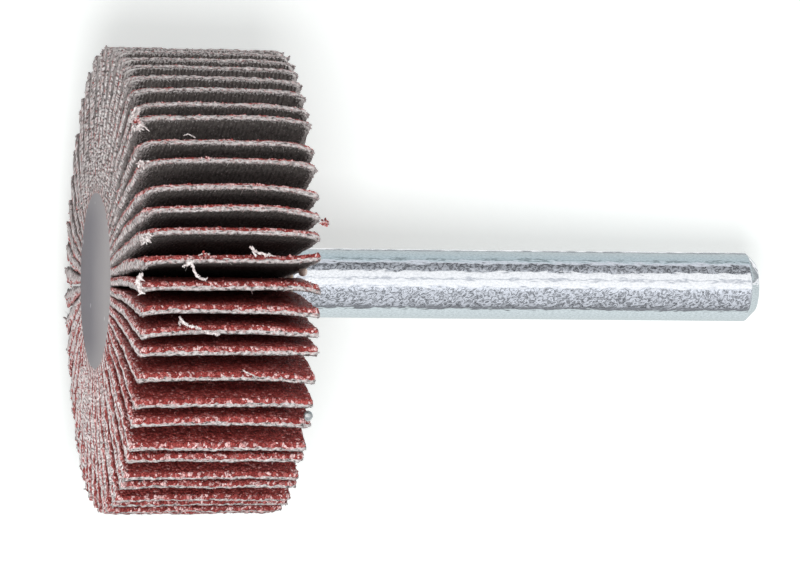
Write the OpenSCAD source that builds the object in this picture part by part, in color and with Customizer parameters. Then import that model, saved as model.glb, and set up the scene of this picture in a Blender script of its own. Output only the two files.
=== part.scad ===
// Flap wheel on a spindle: a ring of abrasive cloth flaps, cast at their roots
// in a resin core on a plain round steel spindle. Millimetres. The wheel stands
// on its front disc with the shank pointing up along +Z, and the origin is the
// centre of the disc's face.

/* [Flaps] */
// Diameter over the flap tips at the front of the wheel
wheel_d = 40.4; // [36:0.2:50]
// Width of the abrasive strip, measured along the spindle
wheel_w = 15.2; // [10:0.2:25]
// Number of flaps round the wheel
flap_count = 58; // [46:1:58]
// Thickness of one flap, cloth backing and grit together
flap_t = 0.7; // [0.5:0.05:0.8]
// Gap between neighbouring flaps where they are packed at the root
flap_gap = 0.04; // [0.02:0.01:0.1]
// How far the flap tips lie back from their roots, towards the shank
tip_rake = 0.7; // [0:0.1:1.5]
// How much smaller the wheel's tip radius is at the back than at the front
tip_cone = 0.2; // [0:0.05:0.6]
// Corner cut at each end of a flap's tip edge
tip_corner = 0.3; // [0.1:0.05:0.8]
// Direction of the first flap, in degrees round the spindle
first_angle = -89.5; // [-180:0.5:180]

/* [Flap root] */
// Height of the heel that the resin holds, below the side notches
heel_h = 0.35; // [0.25:0.05:0.8]
// Height of the side notch above the heel
notch_h = 0.45; // [0.35:0.05:0.8]
// Depth of the side notch, measured along the spindle
notch_depth = 0.9; // [0.4:0.1:1.5]
// Clearance between the cast resin and the flap's notch and heel
cast_gap = 0.04; // [0.03:0.01:0.08]

/* [Resin core] */
// How far the front disc stands proud of the flap sides at its rim
disc_lip = 0.2; // [0.1:0.05:0.6]
// Width of the disc's rim beyond the notches
disc_lap = 0.05; // [0:0.05:0.5]
// Break of the disc's rim
disc_edge = 0.08; // [0.05:0.01:0.09]
// Resin in front of the spindle's inner end
spindle_cover = 1.4; // [1:0.1:2.5]
// How far the rear collar stands proud of the flap sides
collar_h = 0.9; // [0.4:0.1:2]
// Width of the collar's sloping rim
collar_slope = 0.6; // [0.3:0.1:1]
// Height of the resin fillet round the shank, above the collar
fillet_h = 0.5; // [0.2:0.1:1.5]
// Width of the resin fillet round the shank
fillet_w = 0.8; // [0.3:0.1:1.2]

/* [Spindle] */
// Diameter of the spindle
shank_d = 6; // [4:0.5:8]
// Length of the shank beyond the flaps
shank_l = 42.4; // [25:0.2:80]
// Chamfer at the shank's free end
end_chamfer = 0.9; // [0.3:0.1:1.2]
// Break at the inner end
inner_break = 0.3; // [0.1:0.05:0.4]
// How far the stretch that the resin holds is upset beyond the shank
grip_rise = 0.2; // [0.2:0.05:0.5]
// Number of keying grooves in the stretch that the resin holds
groove_count = 3; // [1:1:4]
// Width of a keying groove
groove_w = 1.2; // [0.8:0.1:1.6]
// Depth of a keying groove
groove_depth = 0.4; // [0.2:0.05:0.6]
// Depth of the two flats that stop the spindle turning in the resin
flat_depth = 0.35; // [0.2:0.05:0.6]

/* [Hidden] */
$fn = 96;
// How far a cutting solid runs past the face that it cuts
past = 1;
// Lean of each flap in degrees, towards its grit side where positive, as the
// photographed wheel has it. The pattern repeats round the wheel.
lean_pattern = [
    -1.5, -1, 0, 0, -1, 0.5, -0.5, 2, -0.5, -0.5, -1.5, -2.5, -3, -1.5, 0,
    1, -0.5, 2.5, -1, 2, -1, 1, -2, 1, 0, 1.5, 2, 0.5, -1
];

pitch = 360 / flap_count;
wheel_r = wheel_d / 2;
shank_r = shank_d / 2;

grip_r = shank_r + grip_rise;

// The flaps are packed side by side at this radius
root_r = (flap_t + flap_gap) / 2 / tan(pitch / 2);
notch_in_r = root_r + heel_h;
notch_out_r = notch_in_r + notch_h;
disc_r = notch_out_r + disc_lap;
hub_r = root_r - cast_gap;

// Levels along the spindle
front_z = disc_lip;
back_z = front_z + wheel_w;
tip_back_z = back_z + tip_rake;
collar_z = back_z + collar_h;
mouth_z = collar_z + fillet_h;
total_l = tip_back_z + shank_l;
grip_l = back_z - spindle_cover;

function two_digits(i) = str(i < 10 ? "0" : "", i);
function flap_name(i) = str("flap_", two_digits(i));

// Half outline of the spindle, radius against height. The gripped stretch ends
// flush with the resin's mouth.
module spindle_profile() {
    polygon([
        [0, spindle_cover],
        [grip_r - inner_break, spindle_cover],
        [grip_r, spindle_cover + inner_break],
        [grip_r, mouth_z],
        [shank_r, mouth_z],
        [shank_r, total_l - end_chamfer],
        [shank_r - end_chamfer, total_l],
        [0, total_l]
    ]);
}

// One keying groove, as the ring that is turned away
module keying_groove(z) {
    translate([0, 0, z - groove_w / 2])
        difference() {
            cylinder(h = groove_w, r = grip_r + past);
            translate([0, 0, -past])
                cylinder(h = groove_w + 2 * past, r = grip_r - groove_depth);
        }
}

// The two flats at the inner end, as the slabs that are milled away
module flats() {
    flat_l = grip_l / (groove_count + 1) / 2;
    for (side = [0, 180])
        rotate([0, 0, side])
            translate([grip_r - flat_depth, -shank_d, spindle_cover - past])
                cube([shank_d, 2 * shank_d, flat_l + past]);
}

// The whole spindle: shank, chamfered end and the keyed stretch in the resin
module spindle_solid() {
    difference() {
        rotate_extrude() spindle_profile();
        for (i = [1:groove_count])
            keying_groove(spindle_cover + grip_l * i / (groove_count + 1));
        flats();
    }
}

module spindle() {
    color("silver") spindle_solid();
}

// Half outline of the resin: front disc, hub, the two rings that lock into the
// flap notches, the rear collar and the fillet that runs up the shank
module resin_profile() {
    ring_in_r = notch_in_r + cast_gap;
    ring_out_r = notch_out_r - cast_gap;
    ring_l = notch_depth - cast_gap;
    polygon([
        [0, 0],
        [disc_r - disc_edge, 0],
        [disc_r, disc_edge],
        [disc_r, front_z],
        [ring_out_r, front_z],
        [ring_out_r, front_z + ring_l],
        [ring_in_r, front_z + ring_l],
        [ring_in_r, front_z],
        [hub_r, front_z],
        [hub_r, back_z],
        [ring_in_r, back_z],
        [ring_in_r, back_z - ring_l],
        [ring_out_r, back_z - ring_l],
        [ring_out_r, back_z],
        [disc_r, back_z],
        [disc_r - collar_slope, collar_z],
        [shank_r + fillet_w, collar_z],
        [grip_r, mouth_z],
        [0, mouth_z]
    ]);
}

// The resin is cast round the spindle, so the spindle's own shape is its bore
module resin_core() {
    color("slategray")
        difference() {
            rotate_extrude() resin_profile();
            spindle_solid();
        }
}

// Outline of a flap: height along the radius against place along the spindle.
// The heel and its two notches are at the root, and above the disc's rim the
// strip is raked back towards the shank.
module flap_outline() {
    bend_r = disc_r + cast_gap;
    tip_rear_r = wheel_r - tip_cone;
    polygon([
        [root_r, front_z],
        [notch_in_r, front_z],
        [notch_in_r, front_z + notch_depth],
        [notch_out_r, front_z + notch_depth],
        [notch_out_r, front_z],
        [bend_r, front_z],
        [wheel_r - tip_corner, front_z + tip_rake],
        [wheel_r, front_z + tip_rake + tip_corner],
        [tip_rear_r, tip_back_z - tip_corner],
        [tip_rear_r - tip_corner, tip_back_z],
        [bend_r, back_z],
        [notch_out_r, back_z],
        [notch_out_r, back_z - notch_depth],
        [notch_in_r, back_z - notch_depth],
        [notch_in_r, back_z],
        [root_r, back_z]
    ]);
}

// One flap, at its place round the wheel. It leans about its own heel, and its
// grit lies on the clockwise side, seen from the shank.
module flap(i) {
    lean = lean_pattern[(i - 1) % len(lean_pattern)];
    color("firebrick")
        rotate([0, 0, first_angle - (i - 1) * pitch])
            translate([root_r, 0, 0])
                rotate([0, 0, -lean])
                    translate([-root_r, flap_t / 2, 0])
                        rotate([90, 0, 0])
                            linear_extrude(height = flap_t) flap_outline();
}

spindle();
resin_core();
for (i = [1:flap_count])
    flap(i);
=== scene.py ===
"""Dresses the flap wheel: abrasive cloth flaps, cast resin core and zinc-plated spindle, in a pale studio."""

import logging
import math
from dataclasses import dataclass, field
from enum import Enum
from typing import Any, Sequence

import bpy
import numpy as np
from mathutils import Matrix, Vector


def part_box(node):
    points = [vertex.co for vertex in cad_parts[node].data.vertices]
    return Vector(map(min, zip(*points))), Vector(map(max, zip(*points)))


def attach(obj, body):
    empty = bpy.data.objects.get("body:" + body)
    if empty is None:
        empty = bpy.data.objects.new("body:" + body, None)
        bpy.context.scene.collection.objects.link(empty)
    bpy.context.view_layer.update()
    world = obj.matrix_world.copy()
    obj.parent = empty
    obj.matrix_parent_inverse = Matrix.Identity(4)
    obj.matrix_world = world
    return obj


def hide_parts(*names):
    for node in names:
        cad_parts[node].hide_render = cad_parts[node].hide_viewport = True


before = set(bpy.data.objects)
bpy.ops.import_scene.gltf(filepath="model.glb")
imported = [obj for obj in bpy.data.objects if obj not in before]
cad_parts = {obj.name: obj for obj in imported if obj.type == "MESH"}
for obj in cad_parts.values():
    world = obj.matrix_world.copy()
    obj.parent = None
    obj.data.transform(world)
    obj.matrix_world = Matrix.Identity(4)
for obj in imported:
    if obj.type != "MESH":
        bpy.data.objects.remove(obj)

Array = np.ndarray
Colour = tuple[float, float, float]

LOG = logging.getLogger("flap_wheel")
MM = 0.001
BODY = "root"
STRIP_UV = "Strip"
UV_SPAN = 20.0  # millimetres of strip to one unit of its map
MAP_PITCH = 32.0  # millimetres of map from one flap to the next
SIDE_MAP = 20.0  # where a flap's map unrolls its side edges, in millimetres


# Numbers worked out over whole arrays


def hashed(ix: Array, iy: Array, seed: int) -> Array:
    """Gives each cell of a lattice its own number from 0 to 1, by mixing the bits of its two indices.

    Args:
        ix: Cell index across.
        iy: Cell index along.
        seed: Chooses one of many unlike tables.

    Returns:
        Numbers from 0 to 1, in the shape of the indices.
    """
    n = ix.astype(np.int64) * 374761393 + iy.astype(np.int64) * 668265263 + seed * 974634777
    n = (n ^ (n >> 13)) & 0xFFFFFFFF
    n = (n * 1274126177) & 0xFFFFFFFF
    n = (n ^ (n >> 16)) & 0xFFFFFFFF
    return n / 4294967296.0


def smooth(x: Array) -> Array:
    """The S-shaped step 3x^2 - 2x^3, with x held between 0 and 1."""
    x = np.clip(x, 0.0, 1.0)
    return x * x * (3.0 - 2.0 * x)


def ripple(x: Array, y: Array, seed: int) -> Array:
    """Smooth random relief from -1 to 1: each point blends its cell's four corner numbers by S-shaped steps.

    Args:
        x: Place across, in cells.
        y: Place along, in cells.
        seed: Chooses the relief.

    Returns:
        The relief's height at each place.
    """
    x, y = np.broadcast_arrays(x, y)
    ix, iy = np.floor(x), np.floor(y)
    fx, fy = smooth(x - ix), smooth(y - iy)
    low = hashed(ix, iy, seed) * (1 - fx) + hashed(ix + 1, iy, seed) * fx
    high = hashed(ix, iy + 1, seed) * (1 - fx) + hashed(ix + 1, iy + 1, seed) * fx
    return 2.0 * (low * (1 - fy) + high * fy) - 1.0


def unit(v: Array) -> Array:
    """Each row of v scaled to length 1."""
    return v / np.linalg.norm(v, axis=-1, keepdims=True)


# Meshes from grids of points


@dataclass
class Patch:
    """A grid of points that becomes a sheet of four-sided faces, or a batch of such grids.

    Attributes:
        points: Places in millimetres, shape (..., rows, columns, 3).
        uv: Map coordinates, shape (..., rows, columns, 2).
        skin: Index of the material.
        flat: True for faces that keep their edges.
    """

    points: Array
    uv: Array
    skin: int = 0
    flat: bool = False

    def turned(self) -> "Patch":
        """The same sheet seen from its other side."""
        return Patch(self.points[::-1], self.uv[::-1], self.skin)

    def faces(self, start: int) -> Array:
        """Corner indices of the faces, counted from start, in the turning sense of rows then columns."""
        index = np.arange(self.points[..., 0].size).reshape(self.points.shape[:-1]) + start
        corners = (index[..., :-1, :-1], index[..., :-1, 1:], index[..., 1:, 1:], index[..., 1:, :-1])
        return np.stack(corners, axis=-1).reshape(-1, 4)


def as_mesh(name: str, patches: Sequence[Patch], weld: float = 1e-4) -> bpy.types.Mesh:
    """Joins patches into one mesh. Corners that fall in one small cell become one vertex, and what has no area goes.

    Args:
        name: Name of the mesh.
        patches: The sheets, in millimetres.
        weld: Size of the cell, in millimetres.

    Returns:
        The mesh, in metres, with its map, and a material and a smoothness on each face.
    """
    points = np.concatenate([p.points.reshape(-1, 3) for p in patches])
    uv = np.concatenate([p.uv.reshape(-1, 2) for p in patches])
    starts = np.cumsum([0] + [p.points[..., 0].size for p in patches[:-1]])
    blocks = [p.faces(int(s)) for p, s in zip(patches, starts)]
    loops = np.concatenate(blocks)
    skins = np.concatenate([np.full(len(b), p.skin) for p, b in zip(patches, blocks)])
    soft = np.concatenate([np.full(len(b), not p.flat) for p, b in zip(patches, blocks)])
    cells = np.round(points / weld).astype(np.int64)
    _, first, back = np.unique(cells, axis=0, return_index=True, return_inverse=True)
    corner = back.reshape(-1)[loops]
    repeated = corner == np.roll(corner, -1, axis=1)
    whole, folded = repeated.sum(1) == 0, repeated.sum(1) == 1
    keep = ~repeated[folded]
    corners = np.concatenate([corner[whole].ravel(), corner[folded][keep]])
    spots = np.concatenate([loops[whole].ravel(), loops[folded][keep]])
    sizes = np.concatenate([np.full(whole.sum(), 4), np.full(folded.sum(), 3)])
    mesh = bpy.data.meshes.new(name)
    mesh.vertices.add(len(first))
    mesh.vertices.foreach_set("co", (points[first] * MM).ravel())
    mesh.loops.add(len(corners))
    mesh.loops.foreach_set("vertex_index", corners)
    mesh.polygons.add(len(sizes))
    mesh.polygons.foreach_set("loop_start", np.concatenate([[0], np.cumsum(sizes)[:-1]]))
    mesh.polygons.foreach_set("material_index", np.concatenate([skins[whole], skins[folded]]))
    mesh.polygons.foreach_set("use_smooth", np.concatenate([soft[whole], soft[folded]]))
    layer = mesh.uv_layers.new(name=STRIP_UV)
    layer.data.foreach_set("uv", uv[spots].ravel())
    mesh.update(calc_edges=True)
    mesh.validate()
    return mesh


def strands(start: Array, ways: Array, radii: Array, sides: int, skin: int) -> Patch:
    """Carries a ring along many short paths at once.

    Ring k of a strand stands on the strand's own point k, its corners at equal angles in the plane across the path.
    The first and last rows are drawn together to a point.

    Args:
        start: First point of each strand, shape (strands, 3).
        ways: Steps from point to point, shape (strands, steps, 3).
        radii: Ring radius at each point, shape (strands, steps + 1).
        sides: Corners of a ring.
        skin: Index of the material.

    Returns:
        The strands, each with a map that runs round and along it in its own place.
    """
    path = np.concatenate([start[:, None], start[:, None] + np.cumsum(ways, axis=1)], axis=1)
    along = unit(np.concatenate([ways, ways[:, -1:]], axis=1))
    helper = np.where(np.abs(along[..., 2:]) < 0.9, [0.0, 0.0, 1.0], [1.0, 0.0, 0.0])
    across = unit(np.cross(along, helper))
    over = np.cross(along, across)
    angle = np.linspace(0.0, 2.0 * np.pi, sides + 1)
    ring = np.cos(angle)[:, None] * across[..., None, :] + np.sin(angle)[:, None] * over[..., None, :]
    grid = path[..., None, :] + radii[..., None, None] * ring
    grid[:, :, -1] = grid[:, :, 0]
    first, last = np.repeat(path[:, :1, None], sides + 1, axis=2), np.repeat(path[:, -1:, None], sides + 1, axis=2)
    grid = np.concatenate([first, grid, last], axis=1)
    number = np.arange(len(grid))[:, None, None]
    u = (number * 0.73) % 12.0 + angle[None, None, :] * radii.mean() + 1.0
    v = -np.arange(grid.shape[1])[None, :, None] * 0.12 - number * 0.31 - 2.0
    return Patch(grid, np.stack(np.broadcast_arrays(u, v), axis=-1) / UV_SPAN, skin)


def grains(middle: Array, size: Array, skin: int, lot: np.random.Generator, low: float, high: float) -> Patch:
    """Sharp eight-sided grains, each turned and stretched its own way.

    Args:
        middle: Middle of each grain, shape (grains, 3).
        size: Half the size of each grain.
        skin: Index of the material.
        lot: Draws the turns and the stretches.
        low: Least height on the map, in millimetres, from which the grains take their colours.
        high: Greatest height on the map.

    Returns:
        The grains, each with its whole map at one place, so that each has one colour.
    """
    count = len(middle)
    axis = unit(lot.normal(size=(count, 3)))
    across = unit(np.cross(axis, lot.normal(size=(count, 3))))
    over = np.cross(axis, across)
    angle = np.linspace(0.0, 2.0 * np.pi, 5)
    reach = size[:, None] * lot.uniform(0.65, 1.25, (count, 5))
    reach[:, -1] = reach[:, 0]
    ring = np.cos(angle)[:, None] * across[:, None] + np.sin(angle)[:, None] * over[:, None]
    ring = middle[:, None] + reach[..., None] * ring
    ring[:, -1] = ring[:, 0]
    tips = size[:, None] * axis * lot.uniform(0.8, 1.35, (count, 1))
    ends = [np.repeat((middle + way * tips)[:, None], 5, axis=1) for way in (-1.0, 1.0)]
    points = np.stack([ends[0], ring, ends[1]], axis=1)
    place = np.stack([lot.uniform(3.0, 12.0, (count, 1, 1)), lot.uniform(low, high, (count, 1, 1))], axis=-1)
    return Patch(points, np.broadcast_to(place, (*points.shape[:3], 2)) / UV_SPAN, skin, True)


def kept_up(patch: Patch) -> Patch:
    """The patch with no point below the level of the front disc's face."""
    patch.points[..., 2] = np.maximum(patch.points[..., 2], 0.0)
    return patch


def lathe(profile: Array, turns: int, waver: Array | None = None) -> Patch:
    """Turns an outline round the Z axis: a point at radius r and height z goes to r cos a, r sin a, z.

    Args:
        profile: Radius and height of each outline point, in millimetres.
        turns: Number of steps round.
        waver: What each point's radius gains at each step, shape (outline points, turns + 1).

    Returns:
        The turned sheet, its outside outwards for an outline that runs from low to high.
    """
    angle = np.linspace(0.0, 2.0 * np.pi, turns + 1)
    angle[-1] = 0.0
    r = profile[:, 0, None] + (0.0 if waver is None else waver)
    r = np.broadcast_to(r, (len(profile), turns + 1))
    z = np.broadcast_to(profile[:, 1, None], r.shape)
    points = np.stack([r * np.cos(angle), r * np.sin(angle), z], axis=-1)
    steps = np.linalg.norm(np.diff(profile, axis=0), axis=1)
    along = np.concatenate([[0.0], np.cumsum(steps)])
    round_way = np.linspace(0.0, 2.0 * np.pi, turns + 1) * profile[:, 0].max()
    u, v = np.meshgrid(round_way, along)
    return Patch(points, np.stack([u, v], axis=-1) / UV_SPAN)


def rounded(corners: Sequence[tuple[float, float, float]], steps: int = 6) -> Array:
    """Draws an outline whose corners are rounded by short arcs.

    A corner with size c starts c before it and ends c after it, along a curve that the corner pulls towards itself.

    Args:
        corners: Radius, height and corner size of each point, in millimetres.
        steps: Points to a rounded corner.

    Returns:
        Radius and height of every point.
    """
    places = np.array([c[:2] for c in corners])
    out = [places[:1]]
    t = np.linspace(0.0, 1.0, steps)[:, None]
    for before, here, after, corner in zip(places[:-2], places[1:-1], places[2:], corners[1:-1]):
        size = corner[2]
        if size <= 0:
            out.append(here[None])
            continue
        a = here + (before - here) / np.linalg.norm(before - here) * size
        b = here + (after - here) / np.linalg.norm(after - here) * size
        out.append((1 - t) ** 2 * a + 2 * t * (1 - t) * here + t * t * b)
    out.append(places[-1:])
    return np.concatenate(out)


def divided(outline: Array, longest: float) -> Array:
    """The outline with points added, so that no step is longer than the given length."""
    out = []
    for a, b in zip(outline[:-1], outline[1:]):
        count = max(1, math.ceil(float(np.linalg.norm(b - a)) / longest))
        out.append(a + (b - a) * np.arange(count)[:, None] / count)
    out.append(outline[-1:])
    return np.concatenate(out)


# Shader maths


class Wire:
    """A value in a shader tree, which Python's operators turn into Math nodes."""

    def __init__(self, tree: "Tree", socket: bpy.types.NodeSocket) -> None:
        """Wraps a socket of a tree."""
        self.tree = tree
        self.socket = socket

    def _maths(self, operation: str, *others: Any, clamp: bool = False) -> "Wire":
        """A Math node with this value first and the others after it."""
        settings = {"operation": operation, "use_clamp": clamp}
        return self.tree.node("ShaderNodeMath", settings, dict(enumerate((self, *others))))

    def __add__(self, other: Any) -> "Wire":
        """self + other."""
        return self._maths("ADD", other)

    __radd__ = __add__

    def __sub__(self, other: Any) -> "Wire":
        """self - other."""
        return self._maths("SUBTRACT", other)

    def __rsub__(self, other: Any) -> "Wire":
        """other - self."""
        return self.tree.node("ShaderNodeMath", {"operation": "SUBTRACT"}, {0: other, 1: self})

    def __mul__(self, other: Any) -> "Wire":
        """self * other."""
        return self._maths("MULTIPLY", other)

    __rmul__ = __mul__

    def __truediv__(self, other: Any) -> "Wire":
        """self / other."""
        return self._maths("DIVIDE", other)

    def within(self, other: Any) -> "Wire":
        """What is left of self when the other is taken away as often as it fits."""
        return self._maths("FLOORED_MODULO", other)

    def least(self, other: Any) -> "Wire":
        """The smaller of self and the other."""
        return self._maths("MINIMUM", other)

    def sine(self) -> "Wire":
        """The sine of self, in radians."""
        return self._maths("SINE")

    def clamped(self) -> "Wire":
        """self held between 0 and 1."""
        return self._maths("ADD", 0.0, clamp=True)

    def ramp(self, low: float, high: float) -> "Wire":
        """0 below low, 1 above high, and an S-shaped step between."""
        settings = {"interpolation_type": "SMOOTHSTEP"}
        return self.tree.node("ShaderNodeMapRange", settings, {"Value": self, "From Min": low, "From Max": high})

    def colours(self, stops: Sequence[tuple[float, Colour]]) -> "Wire":
        """A colour from self, blended between stops of place and colour."""
        return self.tree.node("ShaderNodeValToRGB", {"stops": stops}, {"Fac": self})


class Tree:
    """The node tree of one material or of the world."""

    def __init__(self, owner: bpy.types.Material | bpy.types.World) -> None:
        """Clears the owner's tree."""
        owner.use_nodes = True
        self.tree = owner.node_tree
        self.tree.nodes.clear()

    def node(self, kind: str, settings: dict[str, Any] | None = None, inputs: dict[Any, Any] | None = None,
             output: Any = 0) -> Wire:
        """Adds a node of any type.

        Args:
            kind: The node's type.
            settings: Its settings, set first. "stops" fills a colour ramp.
            inputs: Values or wires of its sockets, by name or number.
            output: Name or number of the socket to give back.

        Returns:
            The chosen output.
        """
        made = self.tree.nodes.new(kind)
        for key, value in (settings or {}).items():
            if key == "stops":
                self._fill(made.color_ramp, value)
            else:
                setattr(made, key, value)
        for key, value in (inputs or {}).items():
            if isinstance(value, Wire):
                self.tree.links.new(value.socket, made.inputs[key])
            else:
                made.inputs[key].default_value = value
        return Wire(self, made.outputs[output])

    @staticmethod
    def _fill(ramp: bpy.types.ColorRamp, stops: Sequence[tuple[float, Colour]]) -> None:
        """Writes the stops of a colour ramp."""
        while len(ramp.elements) < len(stops):
            ramp.elements.new(0.5)
        for element, (place, colour) in zip(ramp.elements, stops):
            element.position = place
            element.color = (*colour, 1.0)

    def mix(self, share: Any, a: Any, b: Any, way: str = "MIX") -> Wire:
        """Colour a turned into colour b by share, or blended in the named way."""
        pair = {0: share, 6: self._rgba(a), 7: self._rgba(b)}
        return self.node("ShaderNodeMix", {"data_type": "RGBA", "blend_type": way}, pair, 2)

    @staticmethod
    def _rgba(colour: Any) -> Any:
        """A plain colour with its alpha, or the wire as it is."""
        return colour if isinstance(colour, Wire) else (*colour, 1.0)

    def noise(self, place: Wire, scale: float, detail: float = 2.0, roughness: float = 0.5) -> Wire:
        """Cloudy noise from 0 to 1 at a place."""
        values = {"Vector": place, "Scale": scale, "Detail": detail, "Roughness": roughness}
        return self.node("ShaderNodeTexNoise", {}, values)

    def scaled(self, place: Wire, by: Sequence[float]) -> Wire:
        """A place with each coordinate multiplied."""
        return self.node("ShaderNodeVectorMath", {"operation": "MULTIPLY"}, {0: place, 1: tuple(by)})

    def strip(self) -> tuple[Wire, Wire, Wire]:
        """The place on the piece's own map in millimetres, and its two coordinates."""
        raw = self.node("ShaderNodeUVMap", {"uv_map": STRIP_UV})
        place = self.scaled(raw, (UV_SPAN, UV_SPAN, 1.0))
        return place, *self.split(place, 2)

    def split(self, place: Wire, count: int) -> tuple[Wire, ...]:
        """The first coordinates of a place, each by itself."""
        parts = self.node("ShaderNodeSeparateXYZ", {}, {0: place})
        return tuple(Wire(self, parts.socket.node.outputs[i]) for i in range(count))

    def bump(self, height: Wire, depth: float, strength: float = 1.0) -> Wire:
        """A normal that leans as the height does, with depth in millimetres."""
        return self.node("ShaderNodeBump", {}, {"Height": height, "Distance": depth * MM, "Strength": strength})

    def surface(self, **inputs: Any) -> Wire:
        """A Principled shader, its inputs named with underscores for spaces, wired to the output."""
        named = {key.replace("_", " "): value for key, value in inputs.items()}
        named = {key: self._rgba(v) if key == "Base Color" else v for key, v in named.items()}
        shader = self.node("ShaderNodeBsdfPrincipled", {}, named)
        self.finish(shader)
        return shader

    def finish(self, shader: Wire, kind: str = "ShaderNodeOutputMaterial") -> None:
        """Wires a shader to the tree's output."""
        made = self.tree.nodes.new(kind)
        self.tree.links.new(shader.socket, made.inputs["Surface"])


# Finishes


@dataclass(frozen=True)
class ClothBack:
    """The uncoated side of the backing: charcoal cotton with upright yarns, and a pale nap along its cut edges, partly
    painted light; painted light also makes the top flaps' nap lighter.

    Attributes:
        deep: Colour between the yarns.
        yarn: Colour of the yarns.
        nap: Colour of the raised fibres, partly the cotton's own pale fibres and partly painted light on the exposed
            cut edges.
        painted_top_light: Painted light: the nap's lighter colour on the flaps that stand highest in the picture.
        pitch: Distance from yarn to yarn, in millimetres.
    """

    deep: Colour = (0.036, 0.032, 0.031)
    yarn: Colour = (0.135, 0.122, 0.115)
    nap: Colour = (0.44, 0.41, 0.40)
    painted_top_light: Colour = (0.80, 0.77, 0.76)
    pitch: float = 0.34

    def material(self, width: float, height: float) -> bpy.types.Material:
        """Makes the material.

        Args:
            width: Width of a flap, in millimetres.
            height: Height of a flap, where its cut tip is.

        Returns:
            The material.
        """
        made = bpy.data.materials.new("charcoal_cloth")
        tree = Tree(made)
        place, along, up = tree.strip()
        across = along.within(MAP_PITCH)
        wander = tree.noise(tree.scaled(place, (1.1, 0.18, 1.0)), 1.0) * 5.0
        bars = (across * (2.0 * math.pi / self.pitch) + wander).sine() * 0.5 + 0.5
        streaks = tree.noise(tree.scaled(place, (4.2, 1.7, 1.0)), 1.0, 3.0, 0.65)
        x = tree.split(tree.node("ShaderNodeTexCoord", {}, {}, "Object"), 1)[0]
        # Painted light: share for the flaps that stand highest in the picture, where the nap is made lighter and the
        # yarns stand out more.
        painted_top_light = (x / -MM).ramp(13.0, 18.0)
        weave = (bars * (painted_top_light * 0.50 + 0.10) + streaks * 2.0 - 0.70).clamped()
        colour = tree.mix(weave, self.deep, self.yarn)
        # Nap along the tip and the sides: partly the cotton's own pale fibres, partly painted light on the exposed
        # edges.
        tip_nap_and_light = (up - (height - 0.5)).ramp(0.0, 0.6)
        side_nap_and_light = 1.0 - across.least((width - across) * 2.5).ramp(0.0, 2.0)
        fluff = tree.noise(tree.scaled(place, (6.5, 4.0, 1.0)), 1.0, 2.0, 0.6)
        share = (fluff + tip_nap_and_light * (painted_top_light * 0.12 + 0.17) + side_nap_and_light * 0.34 + bars * 0.05).ramp(0.60, 0.86)
        colour = tree.mix(share * 0.9, colour, tree.mix(painted_top_light * 0.7, self.nap, self.painted_top_light))
        tree.surface(Base_Color=colour, Roughness=0.95, Normal=tree.bump(weave + share, 0.09),
                     Specular_IOR_Level=0.05)
        return made


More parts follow.
